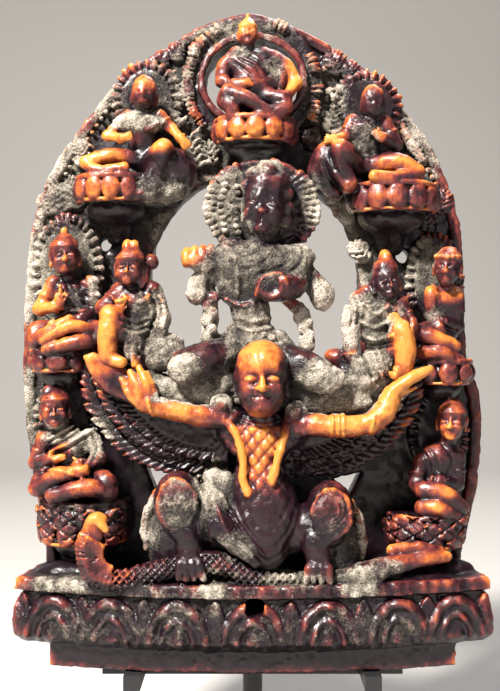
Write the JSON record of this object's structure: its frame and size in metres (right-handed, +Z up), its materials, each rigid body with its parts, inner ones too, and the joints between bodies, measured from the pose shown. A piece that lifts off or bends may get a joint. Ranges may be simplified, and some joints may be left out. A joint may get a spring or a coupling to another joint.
{
  "type": "ivory relief plaque",
  "caption": "Arched, pierced ivory relief of a seated deity on a winged bearer, ringed by seated figures, on a lotus base and a low metal stand",
  "frame": {"origin": "middle of the stand foot's underside, on the surface it stands on", "axes": "+Z up, -Y towards the viewer of the carving, +X to the viewer's right"},
  "size_m": [0.102, 0.054, 0.1747],
  "materials": {
    "ivory": "aged ivory, handled to a deep orange gloss on what stands out, dark purple-brown in the hollows, grey dirt on the broken main figure",
    "stand_metal": "satin black paint, rubbed a little along its edges"
  },
  "bodies": {
    "root": {"ivory_relief": "ivory", "stand_cradle": "stand_metal", "stand_foot": "stand_metal"}
  },
  "joints": []
}
